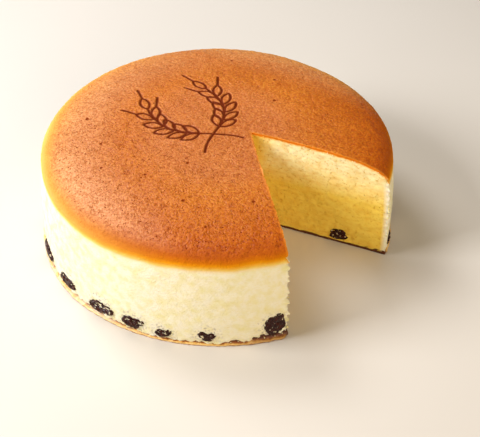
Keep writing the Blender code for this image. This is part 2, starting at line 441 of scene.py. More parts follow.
def raisinFrame(node):  # its middle, its axes along, out and up, its half sizes, and how far in the wall is
    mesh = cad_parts[node].data
    co = np.empty(len(mesh.vertices) * 3)
    mesh.vertices.foreach_get("co", co)
    co = co.reshape(-1, 3) / mm
    middle = (co.min(axis=0) + co.max(axis=0)) / 2
    radius = math.hypot(middle[0], middle[1])
    if radius > 80.0:
        out = np.array([middle[0], middle[1], 0.0]) / radius
        surface = float(wallRadius(middle[2])) - radius
    else:
        away = middle[:2] - tip
        onLeft = abs(math.degrees(math.atan2(away[1], away[0])) - cake["leftCut"]) < 15.0
        turn = math.radians(cake["leftCut"] if onLeft else cake["rightCut"])
        sign = 1.0 if onLeft else -1.0
        out = np.array([-math.sin(turn), math.cos(turn), 0.0]) * sign
        surface = -float(away @ out[:2])
    flatAlong = np.cross([0.0, 0.0, 1.0], out)
    local = co - middle
    u, w = local @ flatAlong, local[:, 2]
    tilt = 0.5 * math.atan2(2 * np.mean(u * w), np.mean(u * u) - np.mean(w * w))
    along = math.cos(tilt) * flatAlong + math.sin(tilt) * np.array([0.0, 0.0, 1.0])
    up = np.cross(along, -out)
    up = up if up[2] > 0 else -up
    halves = [np.ptp(local @ axis) / 2 for axis in (along, out, up)]
    return middle, (along, out, up), halves, surface


def wrinkled(p, seed):  # how far a raisin's skin folds in at a point of the unit ball, 0 to 1
    bend = Vector((p.x * 0.9 + seed, p.y * 1.6, p.z * 1.6))
    fold = 1.0 - abs(noise.noise(bend * 1.7 + Vector((0.0, noise.noise(bend) * 1.2, 0.0)))) * 2.6
    return max(fold, 0.0) ** 2


def bayDepth(bays, degrees):  # how far the outline is drawn in at this direction
    depth = 0.0
    for at, deep, wide in bays:
        away = (degrees - at + 180.0) % 360.0 - 180.0
        depth += deep * math.exp(-((away / wide) ** 2))
    return depth


def makeRaisin(node, seed):
    middle, axes, halves, surface = raisinFrame(node)
    bays = raisin["bays"].get(node, [(seed * 97.0 % 360.0, 0.30, 24), (seed * 41.0 % 360.0, 0.18, 18)])
    dips = raisin["dips"].get(node, [])
    along, out, up = [Vector(a) for a in axes]
    bm = bmesh.new()
    bmesh.ops.create_icosphere(bm, subdivisions=raisin["subdivisions"], radius=1.0)
    fold = bm.verts.layers.float.new("fold")
    proud = bm.verts.layers.float.new("proud")
    centre = Vector(middle) + along * raisin["aside"].get(node, 0.0) * (1 if along.x > 0 else -1)
    limit = surface + raisin["proud"].get(node, raisin["proudOthers"])
    grown = 1.08 * raisin["grown"].get(node, 1.0)
    for v in bm.verts:
        p = v.co.copy()
        crease = wrinkled(p, seed)
        lump = noise.noise(p * 1.1 + Vector((seed * 3.0, 0.0, 0.0)))
        fine = noise.noise(p * 5.5 + Vector((0.0, seed, 0.0)))
        size = grown + raisin["lumps"] * lump - raisin["foldDepth"] * crease + raisin["fineDepth"] * fine
        outward = math.copysign(abs(p.y) ** raisin["boxiness"], p.y)
        flat = size * (1.0 - bayDepth(bays, math.degrees(math.atan2(p.z, p.x))) * math.hypot(p.x, p.z))
        a, b, c = p.x * halves[0] * flat, outward * halves[1] * size, p.z * halves[2] * flat
        if b > limit:  # pressed flat against the tin, with the folds still open towards its edge
            outer = float(smooth(0.35, 0.9, math.hypot(p.x, p.z)))
            sink = raisin["wrinkle"] + (raisin["openFold"] - raisin["wrinkle"]) * outer
            pressed = min(1.0, (b - limit) / 0.5)
            knob = raisin["knobs"] * noise.noise(p * 2.4 + Vector((0.0, 0.0, seed * 1.7)))
            b = limit + (b - limit) * raisin["flattened"] + (knob + 0.18 * fine - sink * crease) * pressed
            hollow = sum(math.exp(-((p.x - x) ** 2 + (p.z - z) ** 2) / r ** 2) for x, z, r in dips)
            b -= raisin["dipDepth"] * min(hollow, 1.0)
            crease = max(crease, hollow)
        v[fold] = crease
        v[proud] = b - surface
        v.co = (centre + along * a + out * b + up * c) * mm
    bmesh.ops.recalc_face_normals(bm, faces=bm.faces[:])
    mesh = bpy.data.meshes.new(node.replace("raisin_", "raisinSkin"))
    bm.to_mesh(mesh)
    bm.free()
    mesh.shade_smooth()
    return addPiece(mesh.name, mesh), (Vector(middle), (halves[0] + halves[2]) / 2)


relief = {  # (depth, grain) of the modelled unevenness
    "crown": (0.16, 6.0),
    "crownFine": (0.14, 2.8),
    "wall": (0.15, 7.0),
    "wallFine": (0.07, 1.8),
    "crumb": (0.30, 3.0),
    "pit": (0.60, 1.6),
    "knife": (0.06, 1.9),
    "knifeRun": 14.0,  # mm that one of the knife's ripples runs
    "juiceReach": (5.5, 0.5),  # mm from a raisin where its juice starts to tint the crumb, and tints it fully
    "juiceMost": 0.85,
    "juiceTop": 22.0,
    "tornSide": (2.4, 2.3),
    "tornFoot": (1.1, 2.4),
    "tornCrown": (0.34, 1.8),
    "tearReach": 1.2,
    "knifeReach": 10.0,
}


def readFloats(owner, key, width):
    values = np.empty(len(owner) * width)
    owner.foreach_get(key, values)
    return values.reshape(-1, width) if width > 1 else values


def materialPoints(mesh, slot):  # which points belong to a face of this slot
    count = len(mesh.polygons)
    slots, sizes = np.empty(count, int), np.empty(count, int)
    mesh.polygons.foreach_get("material_index", slots)
    mesh.polygons.foreach_get("loop_total", sizes)
    corners = np.empty(len(mesh.loops), int)
    mesh.loops.foreach_get("vertex_index", corners)
    found = np.zeros(len(mesh.vertices), bool)
    found[corners[np.repeat(slots, sizes) == slot]] = True
    return found


def bakedForm(x, y, z):  # slightly out of round, with a gently uneven crown, as a tin leaves it
    angle, radius = math.atan2(y, x), math.hypot(x, y)
    rise = min(z / cake["browningHeight"], 1.0)
    push = cake["outOfRound"] * (math.cos(2 * angle + 0.6) + 0.6 * math.cos(3 * angle - 1.1)) * rise
    grown = 1.0 + push / cake["footRadius"]
    if z > cake["browningHeight"]:
        inward = 1.0 - radius / (2.2 * cake["browningRadius"])
        spot = Vector((x, y, 0.0)) / cake["swellGrain"] + Vector((3.1, 7.7, 1.9))
        z += cake["crownSwell"] * noise.noise(spot) * inward * 2.0
    return x * grown, y * grown, z


def waves(key, x, y, z, octaves=2):  # broad unevenness at a point, by its row in relief
    depth, grain = relief[key]
    return depth * fractal(x, y, z, grain, octaves)


def ripples(key, place):  # fine unevenness
    depth, grain = relief[key]
    return depth * noise.noise(place / grain)


def addRelief(mesh, raisinSpots):
    points = readFloats(mesh.vertices, "co", 3) / mm
    normals = readFloats(mesh.vertex_normals, "vector", 3)
    onSkin, onCut = materialPoints(mesh, 0), materialPoints(mesh, 1)
    turnedIn = readFloats(mesh.attributes["depth"].data, "value", 1) > cake["hidden"] - 1.0
    stain, knife = np.zeros(len(points)), np.zeros(len(points))
    moved = np.empty_like(points)
    edges = np.flatnonzero(onSkin & onCut)
    edgeTree = kdtree.KDTree(len(edges))
    for i in edges:
        edgeTree.insert(points[i], int(i))
    edgeTree.balance()
    for i, (x, y, z) in enumerate(points):
        n, place, moved[i] = normals[i], Vector((x, y, z)), bakedForm(x, y, z)
        _, near, gap = edgeTree.find(points[i])
        knife[i] = min(gap, relief["knifeReach"])
        if turnedIn[i]:
            continue
        if onCut[i]:
            depth, grain = relief["pit"]
            pit = noise.noise(place / grain + Vector((9.0, 0.0, 4.0)))
            push = waves("crumb", x, y, z, 3) - depth * max(pit - 0.25, 0.0)
            depth, grain = relief["knife"]
            push += depth * noise.noise(Vector((x / relief["knifeRun"], y / relief["knifeRun"], z / grain)))
        elif n[2] > 0.5:
            push = waves("crown", x, y, z) + ripples("crownFine", place)
        else:
            push = waves("wall", x, y, z) + ripples("wallFine", place)
            if z < relief["juiceTop"]:
                away = min((place - spot).length - size for spot, size in raisinSpots)
                stain[i] = float(smooth(*relief["juiceReach"], away)) * relief["juiceMost"]
        moved[i] += n * push
        if gap < 3.0 * relief["tearReach"]:  # crumb torn along the knife's edges
            onSide = relief["tornFoot" if z < footEdge["highest"] + 1.0 else "tornSide"]
            deep, grain = onSide if normals[near][2] < 0.35 else relief["tornCrown"]
            tear = noise.noise(points[near] / grain) + 0.5 * noise.noise(points[near] / grain * 2.3) - 0.15
            moved[i] += normals[near] * deep * tear * math.exp(-((gap / relief["tearReach"]) ** 2))
    mesh.vertices.foreach_set("co", (moved * mm).ravel())
    addFloats(mesh, "stain", stain)
    addFloats(mesh, "knife", knife)
    mesh.update()


# Base skin: the thin brown sheet that baked against the tin's paper, a little wider than the crumb

baseSkin = {
    "rimPoints": 1000,
    "cutPoints": 160,
    # (mm out from the foot's line, height) up the skin's section, round the rim and along the cuts
    "rimRows": [(-1.6, 0.0), (-0.25, 0.0), (0.25, 0.12), (0.5, 0.5), (0.45, 0.95), (0.1, 1.25),
                (-0.45, 1.5), (-0.5, 2.7), (-0.55, 4.2), (-3.0, 4.2)],
    "cutRows": [(-1.6, 0.0), (-0.3, 0.0), (-0.05, 0.12), (0.05, 0.45), (0.05, 0.9), (0.0, 1.3), (-0.1, 1.6),
                (-0.3, 1.8), (-0.4, 2.1), (-3.0, 2.1)],
    # (degrees round the foot, mm that the lip stands out there), and how much of it each row takes
    "flare": [(-180.0, 0.8), (-165.0, 1.1), (-150.0, 1.4), (-135.0, 1.4), (-127.0, 0.7), (-118.0, 0.5),
              (-100.0, 0.3), (-86.0, 0.4), (-79.0, 0.9), (-72.0, 1.4), (-66.0, 1.5)],
    "flareRows": (0.0, 0.8, 1.0, 1.0, 1.0, 0.5, 0.0, 0.0, 0.0, 0.0),
    "capMiddle": (-20.0, 10.0),
    "cornerBlend": 3.0,
    "frill": 0.22,
}


def cutEnd(degrees):  # where a cut meets the foot's circle
    return tip + reach(wayAt(degrees), cake["footRadius"]) * wayAt(degrees)


def footOutline():  # points round the foot, the outward direction at each, and 1 on the side or 0 on a cut
    right, left = cutEnd(cake["rightCut"]), cutEnd(cake["leftCut"])
    start, end = math.atan2(right[1], right[0]), math.atan2(left[1], left[0]) + 2 * math.pi
    angles = np.linspace(start, end, baseSkin["rimPoints"])
    rimOut = np.column_stack([np.cos(angles), np.sin(angles)])
    rim = rimOut * cake["footRadius"]
    share = np.linspace(0.0, 1.0, baseSkin["cutPoints"])[1:, None]
    leftIn = left + (tip - left) * share
    rightOut = tip + (right - tip) * share[:-1]
    points = np.concatenate([rim, leftIn, rightOut])
    ways = [rimOut]
    for run, count in ((tip - left, len(leftIn)), (right - tip, len(rightOut))):
        ways.append(np.tile(np.array([run[1], -run[0]]) / np.linalg.norm(run), (count, 1)))
    ways = np.concatenate(ways)
    corner = np.minimum(np.linalg.norm(points - right, axis=1), np.linalg.norm(points - left, axis=1))
    isRim = np.concatenate([np.ones(len(rim)), np.zeros(len(leftIn) + len(rightOut))])
    weight = isRim * smooth(0.0, baseSkin["cornerBlend"], corner)
    return points, ways, weight


def flareAt(x, y):  # how far the lip stands out from the foot there
    degrees, widths = zip(*baseSkin["flare"])
    at = math.degrees(math.atan2(y, x))
    if degrees[0] < at < degrees[-1]:
        return float(np.interp(at, degrees, widths))
    return 0.7 + 0.6 * noise.noise(Vector((x, y, 2.0)) / 22.0)


def makeBaseSkin():
    points, ways, weight = footOutline()
    flare = np.array([flareAt(x, y) for x, y in points]) * weight
    rings = []
    rows = zip(baseSkin["rimRows"], baseSkin["cutRows"], baseSkin["flareRows"])
    for (rimOff, rimZ), (cutOff, cutZ), share in rows:
        off = weight * rimOff + (1 - weight) * cutOff
        z = weight * rimZ + (1 - weight) * cutZ
        if 0.0 < rimZ < 2.0:
            for i, (x, y) in enumerate(points):
                if off[i] > 0:
                    off[i] *= 0.55 + 0.45 * fractal(x, y, 0.0, 6.0)
                off[i] += baseSkin["frill"] * fractal(x, y, 3.0 * rimZ, 1.4)
                off[i] += flare[i] * share * (0.8 + 0.35 * fractal(x, y, rimZ, 3.0))
                z[i] = max(z[i] * (1.0 + 0.25 * noise.noise(Vector((x, y, 9.0)) / 2.2)), 0.02)
        elif share:
            off += flare * share * 0.8
        rings.append(np.column_stack([points + ways * off[:, None], z]))
    count, rows = len(points), len(rings)
    index = np.arange(count * rows).reshape(rows, count)
    closed = np.column_stack([index, index[:, :1]])
    faces = [f[::-1] for f in ringFaces(closed).tolist()]
    ends = []
    for k, ring in ((0, rings[0]), (rows - 1, rings[-1])):  # each end closes on one point behind the tip
        middle = count * rows + len(ends)
        ends.append([*(tip + baseSkin["capMiddle"]), ring[:, 2].mean()])
        order = closed[k] if k else closed[k][::-1]
        faces += [[a, b, middle] for a, b in zip(order[:-1].tolist(), order[1:].tolist())]
    mesh = bpy.data.meshes.new("baseSkin")
    mesh.from_pydata(np.concatenate(rings + [np.array(ends)]) * mm, [], faces)
    addFloats(mesh, "cutSide", np.append(np.tile(1.0 - weight, rows), (0.0, 0.0)))
    mesh.shade_smooth()
    return addPiece("baseSkin", mesh)


# Torn crumbs: bits of sponge that the knife and the paper pulled loose and left sticking

crumbs = {
    "seed": 11,
    "sideEdges": 16,
    "crownEdges": 6,
    "cutFaces": 60,
    "foot": 120,
    "smallest": 0.45,  # mm across
    "largest": 1.3,
}


# Where each crumb sits, its size and its slot (0 from inside, 1 from the pale side): up the cut corners,
# along the crown's cut edges, over the cuts and round the foot
def crumbSpots(rng):
    def onCut(way, out):  # the left cut is bowed
        aside = np.array([way[1], -way[0]]) * bowed(out / cake["bowReach"])
        return tip + way * out + (aside if degrees == cake["leftCut"] else 0.0)

    for degrees in (cake["leftCut"], cake["rightCut"]):
        end = cutEnd(degrees)
        way = (end - tip) / np.linalg.norm(end - tip)
        for _ in range(crumbs["sideEdges"]):
            z = rng.uniform(1.5, 46.0)
            at = onCut(way, float(reach(way, wallRadius(z))) - rng.uniform(0.0, 0.5))
            yield (*at, z), rng.uniform(crumbs["smallest"], crumbs["largest"]), 1
        for _ in range(crumbs["crownEdges"]):
            at = onCut(way, rng.uniform(4.0, 70.0))
            z = float(profileHeight(np.hypot(*at))) - rng.uniform(0.9, 2.2)
            yield (*at, z), rng.uniform(crumbs["smallest"], 0.7), 0
        for _ in range(crumbs["cutFaces"]):
            at = onCut(way, rng.uniform(3.0, 72.0))
            yield (*at, rng.uniform(2.0, 52.0)), rng.uniform(crumbs["smallest"], 0.75), 0
    start = math.degrees(math.atan2(*cutEnd(cake["rightCut"])[::-1]))
    end = math.degrees(math.atan2(*cutEnd(cake["leftCut"])[::-1])) + 360.0
    for _ in range(crumbs["foot"]):
        angle = math.radians(rng.uniform(start, end))
        radius = cake["footRadius"] + rng.uniform(-0.25, 0.15)
        at = (radius * math.cos(angle), radius * math.sin(angle), rng.uniform(1.0, 2.6))
        yield at, rng.uniform(0.35, 0.8), 1


def makeCrumbs():
    rng = random.Random(crumbs["seed"])
    bm = bmesh.new()
    for k, (spot, size, slot) in enumerate(crumbSpots(rng)):
        made = bmesh.ops.create_icosphere(bm, subdivisions=2, radius=1.0)["verts"]
        squash = Vector((rng.uniform(0.6, 1.2), rng.uniform(0.6, 1.2), rng.uniform(0.5, 1.0)))
        for v in made:
            p = v.co.copy()
            bump = 1.0 + 0.45 * noise.noise(p * 1.9 + Vector((k * 1.37, 0.0, k * 0.71)))
            v.co = (Vector(bakedForm(*spot)) + p * squash * bump * size * 0.5) * mm
            for face in v.link_faces:
                face.material_index = slot
    mesh = bpy.data.meshes.new("tornCrumbs")
    bm.to_mesh(mesh)
    bm.free()
    mesh.shade_smooth()
    return addPiece("tornCrumbs", mesh)


# Materials

def hexColour(code):  # sRGB hex to the linear colour that shaders take
    parts = [int(code[i : i + 2], 16) / 255 for i in (1, 3, 5)]
    return [c / 12.92 if c <= 0.04045 else ((c + 0.055) / 1.055) ** 2.4 for c in parts] + [1.0]


# Each input takes a number, a vector, a hex colour, a socket, or a node for its first output
def addNode(tree, kind, inputs=None, **settings):
    node = tree.nodes.new("ShaderNode" + kind)
    for key, value in settings.items():
        setattr(node, key, value)
    for key, value in (inputs or {}).items():
        if isinstance(value, bpy.types.Node):
            value = next(out for out in value.outputs if out.enabled)
        if isinstance(value, bpy.types.NodeSocket):
            tree.links.new(value, node.inputs[key])
        else:
            node.inputs[key].default_value = hexColour(value) if isinstance(value, str) else value
    return node


def perMm(size):  # texture scale whose pattern repeats about once in this many millimetres
    return 1.0 / (size * mm)


def newMaterial(name):  # the material, addNode for its tree, and the place of each point
    material = bpy.data.materials.new(name)
    material.use_nodes = True
    material.node_tree.nodes.clear()
    add = functools.partial(addNode, material.node_tree)
    return material, add, add("TexCoord").outputs["Object"]


def finishSurface(add, inputs):
    add("OutputMaterial", {"Surface": add("BsdfPrincipled", inputs)})


def toned(add, value, stops, unit=1.0):  # a colour for each value, from [(value, hex colour)]
    low, high = stops[0][0], stops[-1][0]
    share = add("MapRange", {"Value": value, "From Min": low * unit, "From Max": high * unit})
    tone = add("ValToRGB", {"Fac": share})
    elements = tone.color_ramp.elements
    elements.remove(elements[-1])
    for k, (at, code) in enumerate(stops):
        position = (at - low) / (high - low)
        element = elements[0] if k == 0 else elements.new(position)
        element.position = position
        element.color = hexColour(code)
    return tone


# Patches of that grain in mm: 0 up to most while the noise under them goes from low to high
def patches(add, place, grain, low, high, most=1.0, detail=3.0):
    under = add("TexNoise", {"Vector": place, "Scale": perMm(grain), "Detail": detail})
    return add("MapRange", {"Value": under, "From Min": low, "From Max": high, "To Max": most})


# 0 to 1 across the cake in a level direction (degrees from +X), between two shares of its radius
def across(add, place, part):
    degrees, start, end = part
    way = Vector((*wayAt(degrees), 0.0)) / (cake["footRadius"] * mm)
    along = add("VectorMath", {0: place, 1: way}, operation="DOT_PRODUCT")
    return add("MapRange", {"Value": along, "From Min": start, "From Max": end},
               interpolation_type="SMOOTHSTEP")


sponge = {  # souffle sponge: egg foam set by steam, browned only where dry heat reached it
    # (mm past the browning edge, colour) where the oven's heat was full, and on the side that got less of it,
    # whose stops from 13 to 28 mm are whiter to carry a painted sheen as well
    "browning": [(-3.0, "#f2e1be"), (-1.2, "#eed69c"), (0.0, "#ebc764"), (0.8, "#e7ad3c"), (1.8, "#dd920c"),
                 (3.2, "#c87003"), (5.5, "#b55a02"), (8.5, "#b75c02"), (13.0, "#c16809"), (26.0, "#c57117"),
                 (45.0, "#ce7e28"), (60.0, "#cc8040")],
    "browningPaleAndSheen": [(-3.0, "#efe8bc"), (-1.2, "#eadb94"), (0.0, "#e2c560"), (1.0, "#dfb55a"),
                     (2.5, "#e0b05c"), (5.0, "#e1a44a"), (8.5, "#e39f4d"), (13.0, "#e4a25e"),
                     (20.0, "#dc9c63"), (28.0, "#d6945e"), (45.0, "#ce7e32"), (60.0, "#cc8042")],
    # parts of the cake: direction in degrees from +X, and the shares of the radius where the change is
    "lessBaked": (160.0, -0.2, 0.95),
    "rear": (68.0, 0.50, 0.92),
    "paintedSheen": (-140.0, 0.62, 0.88),  # where a whitish painted sheen lies on the crown at the front-left
    "crackled": (-135.0, -0.5, 0.75),
    "edgeShifts": [((172.0, 0.78, 0.96), -1.7), ((-145.0, 0.80, 0.95), 1.1)],  # part, mm added to the edge
    "wander": (15.0, 2.4),  # grain and amount in mm of the browning edge's wandering
    # mm past the browning edge between which each sets in
    "crownStart": (-2.6, -0.4),
    "crustStart": (2.5, 11.0),
    "paintedSheenStart": (6.0, 13.0),
    # the whitish colour of the painted sheen at the front-left, and the most it takes
    "paintedSheenTone": ("#f0c4a4", 0.24),
    # patterns: grain in mm, the noise levels from and to which each fills in, then its most and its detail
    "broad": (24.0, 0.35, 0.65, 1.0, 2.0),
    "broken": (3.1, 0.50, 0.62),
    "blotches": (4.2, 0.42, 0.72),
    "juiceSpecks": (1.2, 0.51, 0.66),
    "cloud": (6.0, 0.38, 0.72, 1.0, 4.0),
    "streaks": (1.6, 0.45, 0.72, 0.30, 2.0),
    "mottleGrain": 1.15,
    "crazeGrain": 1.6,
    "fineGrain": 0.85,
    "dentGrain": 1.5,
    "cellGrain": 1.3,
    "crustGrain": 2.4,
    "mottle": [(0.33, "#d2ae86"), (0.50, "#efddc8"), (0.64, "#ffffff")],
    # spacing in mm, half width as a share of it, the share of places left bare, how dark
    "pores": [(1.25, 0.21, 0.30, 0.70), (2.6, 0.130, 0.40, 1.0), (10.5, 0.072, 0.50, 1.0)],
    "bend": (1.3, 0.7),  # grain and amount in mm by which the pores' lips are uneven
    "broadTone": "#f4ece4",
    "pore": "#b0734a",  # multiplies the crown's tone
    "pit": "#7c2f0a",
    # the golden line on the crown's cut edges: partly the cut crust, partly a painted highlight
    "cutRimAndHighlight": "#df8a28",
    "burn": "#64240c",
    "side": "#f0ead2",
    "sideLow": "#e8dfa6",
    "sideDent": "#e9dca6",
    "stain": "#a89c92",  # raisin juice
    "matt": 0.75,
    "sheen": 0.33,
    "gloss": (0.05, 0.25),  # specular level of the golden rim and of the crown
    "crumb": "#fbf0bf",
    # deeper yellow painted on the crumb low down and near the tip: painted shade
    "crumbPaintedShade": "#f0d15b",
    # deeper gold of random streaks and clouds, and painted shade in the crumb's cell hollows
    "crumbDeepAndHollowShade": "#e1ac33",
    "paintedShadeHeights": (50.0, 30.0),  # heights in mm between which the crumb turns yellow on the way down: painted shade
    "paintedShadeNearTip": (14.0, 3.0),  # mm from the tip between which it does so too: painted shade towards the tip
    "crust": "#d6740e",
    "crustInner": "#efb044",
    "crustThick": 1.2,
}


def pastBrowning(add, place):  # mm past the edge of the browning, which wanders
    grain, amount = sponge["wander"]
    rim = add("Attribute", attribute_name="rim").outputs["Fac"]
    wander = add("TexNoise", {"Vector": place, "Scale": perMm(grain), "Detail": 2.0})
    wander = add("Math", {0: wander, 1: amount, 2: -amount / 2}, operation="MULTIPLY_ADD")
    edge = add("Math", {0: rim, 1: wander}, operation="ADD")
    for part, shift in sponge["edgeShifts"]:
        edge = add("Math", {0: across(add, place, part), 1: shift, 2: edge}, operation="MULTIPLY_ADD")
    return edge


def crownTone(add, place, edge):  # browning: full or pale by side, the pale one with some painted sheen, a whitish painted sheen at the front-left, broadly uneven
    tone, pale = [toned(add, edge, sponge[key]) for key in ("browning", "browningPaleAndSheen")]
    lessBaked, rear, paintedSheen = [across(add, place, sponge[key]) for key in ("lessBaked", "rear", "paintedSheen")]
    lessBaked = add("Math", {0: lessBaked, 1: rear}, operation="MAXIMUM")
    # a whitish painted sheen at the front-left, fading in from the golden rim
    (start, end), (paintedSheenTone, most) = sponge["paintedSheenStart"], sponge["paintedSheenTone"]
    inner = add("MapRange", {"Value": edge, "From Min": start, "From Max": end, "To Max": most})
    paintedSheen = add("Math", {0: paintedSheen, 1: inner}, operation="MULTIPLY")
    broad = patches(add, place, *sponge["broad"])
    for share, over, blend in ((lessBaked, pale, "MIX"), (paintedSheen, paintedSheenTone, "MIX"),
                               (broad, sponge["broadTone"], "MULTIPLY")):
        tone = add("Mix", {0: share, 6: tone, 7: over}, data_type="RGBA", blend_type=blend)
    return tone


def crownPores(add, bent):  # burst bubbles: many fine ones, and a few as wide as a millimetre or two
    pores = []
    for spacing, width, bare, dark in sponge["pores"]:
        cell = add("TexVoronoi", {"Vector": bent, "Scale": perMm(spacing)})
        dot = add("MapRange", {"Value": cell, "From Min": width * 1.35, "From Max": width * 0.7,
                               "To Max": dark})
        some = add("SeparateColor", {"Color": cell.outputs["Color"]})
        some = add("MapRange", {"Value": some, "From Min": bare, "From Max": bare + 0.2})
        pores.append(add("Math", {0: dot, 1: some}, operation="MULTIPLY"))
    return pores


# Pores, and the crackle of a crown that shrinks as it cools and crazes like thin leather, most where it
# dried first. Gives all the marks, the large pits alone, and the height of the skin.
def crownMarks(add, place, crusted, height):
    grain, amount = sponge["bend"]
    bend = add("TexNoise", {"Vector": place, "Scale": perMm(grain), "Detail": 1.0}).outputs["Color"]
    bent = add("VectorMath", {0: bend, 1: (amount * mm,) * 3, 2: place}, operation="MULTIPLY_ADD")
    small, middling, large = crownPores(add, bent)
    web = add("TexVoronoi", {"Vector": bent, "Scale": perMm(sponge["crazeGrain"])},
              feature="DISTANCE_TO_EDGE")
    crack = add("MapRange", {"Value": web, "From Min": 0.13, "From Max": 0.02})
    pillow = add("MapRange", {"Value": web, "From Max": 0.3})
    broken = patches(add, place, *sponge["broken"])
    crack = add("Math", {0: crack, 1: broken}, operation="MULTIPLY")
    dried = across(add, place, sponge["crackled"])
    dried = add("Math", {0: dried, 1: 0.60, 2: 0.35}, operation="MULTIPLY_ADD")
    marks = add("Math", {0: small, 1: middling}, operation="MAXIMUM")
    marks = add("Math", {0: crack, 1: 0.4, 2: marks}, operation="MULTIPLY_ADD")
    marks = add("Math", {0: marks, 1: dried, 2: large}, operation="MULTIPLY_ADD", use_clamp=True)
    marks = add("Math", {0: marks, 1: crusted}, operation="MULTIPLY")
    pits = add("Math", {0: large, 1: crusted}, operation="MULTIPLY")
    pillow = add("Math", {0: pillow, 1: dried}, operation="MULTIPLY")
    for part, weight in ((marks, -1.0), (pillow, 0.20), (broken, -0.40)):
        height = add("Math", {0: part, 1: weight, 2: height}, operation="MULTIPLY_ADD")
    return marks, pits, height


def creamSide(add, place):  # cream, with faint greenish yellow blotches and small level dents
    level = add("Mapping", {"Vector": place, "Scale": (1.0, 1.0, 1.7)})
    dent = add("TexNoise", {"Vector": level, "Scale": perMm(sponge["dentGrain"]), "Detail": 4.0,
                            "Roughness": 0.6})
    dented = add("MapRange", {"Value": dent, "From Min": 0.48, "From Max": 0.32, "To Max": 0.50})
    cream = sponge["side"]
    for share, code in ((patches(add, place, *sponge["blotches"]), "sideLow"), (dented, "sideDent")):
        cream = add("Mix", {0: share, 6: cream, 7: sponge[code]}, data_type="RGBA")
    return cream, dent


# Outside of the cake. Dry oven heat leaves a leathery tan crown with pin pores and a golden edge,
# and the tin leaves a matt cream side with a fine closed crumb.
def bakedSkinMaterial():
    material, add, place = newMaterial("bakedSpongeSkin")
    burn, stain, knife = [add("Attribute", attribute_name=name).outputs["Fac"]
                          for name in ("burn", "stain", "knife")]
    edge = pastBrowning(add, place)
    crusted, onCrown = [add("MapRange", {"Value": edge, "From Min": start, "From Max": end})
                        for start, end in (sponge["crustStart"], sponge["crownStart"])]
    mottle = add("TexNoise", {"Vector": place, "Scale": perMm(sponge["mottleGrain"]), "Detail": 3.0,
                              "Roughness": 0.6})
    marks, pits, crownHeight = crownMarks(add, place, crusted, mottle)
    cutRimAndHighlightShare = add("MapRange", {"Value": knife, "From Min": 1.2, "From Max": 0.3, "To Max": 0.6})
    colour = crownTone(add, place, edge)
    for share, over, blend in (
        (crusted, toned(add, mottle, sponge["mottle"]), "MULTIPLY"),
        (marks, sponge["pore"], "MULTIPLY"),
        (pits, sponge["pit"], "MIX"),
        (cutRimAndHighlightShare, sponge["cutRimAndHighlight"], "MIX"),  # a paler golden line where the knife went through the crust, also a painted highlight along that edge
    ):
        colour = add("Mix", {0: share, 6: colour, 7: over}, data_type="RGBA", blend_type=blend)
    cream, dent = creamSide(add, place)
    colour = add("Mix", {0: onCrown, 6: cream, 7: colour}, data_type="RGBA")
    # juice from the raisins tints the crumb round them grey in fine specks
    juice = add("Math", {0: patches(add, place, *sponge["juiceSpecks"]), 1: stain}, operation="MULTIPLY")
    for share, code in ((juice, "stain"), (burn, "burn")):
        colour = add("Mix", {0: share, 6: colour, 7: sponge[code]}, data_type="RGBA")

    rough = add("MapRange", {"Value": crusted, "To Min": sponge["matt"], "To Max": sponge["sheen"]})
    rough = add("Math", {0: mottle, 1: 0.15, 2: rough}, operation="MULTIPLY_ADD")
    onRim, onTop = sponge["gloss"]
    gloss = add("MapRange", {"Value": crusted, "To Min": onRim, "To Max": onTop})
    dull = add("Math", {0: marks, 1: burn}, operation="MAXIMUM")
    dull = add("MapRange", {"Value": dull, "To Min": 1.0, "To Max": 0.1})
    gloss = add("Math", {0: gloss, 1: dull}, operation="MULTIPLY")

    fine = add("TexNoise", {"Vector": place, "Scale": perMm(sponge["fineGrain"]), "Detail": 2.0})
    crownHeight = add("Math", {0: fine, 1: 0.60, 2: crownHeight}, operation="MULTIPLY_ADD")
    sideHeight = add("Math", {0: dent, 1: 1.5, 2: fine}, operation="MULTIPLY_ADD")
    height = add("Mix", {0: onCrown, 2: sideHeight, 3: crownHeight}, data_type="FLOAT")
    bump = add("Bump", {"Height": height, "Strength": 0.8, "Distance": 0.38 * mm})
    finishSurface(add, {"Base Color": colour, "Roughness": rough, "Specular IOR Level": gloss, "Normal": bump,
                        "Subsurface Weight": 0.12, "Subsurface Radius": (1.0, 0.6, 0.3),
                        "Subsurface Scale": 1.6 * mm})
    return material


# What the edges of a cut add: the side's cream near the knife's edge on the wall, and the crown's crust as a
# thin tan line along the top
def cutEdges(add, place, colour):
    rim, knife, depth = [add("Attribute", attribute_name=name).outputs["Fac"]
                         for name in ("rim", "knife", "depth")]
    parts = ((knife, 3.2, 0.8), (rim, 0.5, -1.5), (rim, 0.0, 5.0))
    nearKnife, onWall, onCrown = [add("MapRange", {"Value": value, "From Min": start, "From Max": end})
                                  for value, start, end in parts]
    corner = add("Math", {0: nearKnife, 1: onWall}, operation="MULTIPLY")
    colour = add("Mix", {0: corner, 6: colour, 7: sponge["side"]}, data_type="RGBA")
    ragged = add("TexNoise", {"Vector": place, "Scale": perMm(sponge["crustGrain"]), "Detail": 3.0})
    depth = add("Math", {0: ragged, 1: -1.3, 2: depth}, operation="MULTIPLY_ADD")
    depth = add("Math", {0: depth, 1: 0.65}, operation="ADD")
    thick = sponge["crustThick"]
    for width, soft, code in ((thick + 0.45, 0.55, "crustInner"), (thick, 0.25, "crust")):
        line = add("MapRange", {"Value": depth, "From Min": width + soft, "From Max": width - soft})
        line = add("Math", {0: line, 1: onCrown}, operation="MULTIPLY")
        colour = add("Mix", {0: line, 6: colour, 7: sponge[code]}, data_type="RGBA")
    return colour
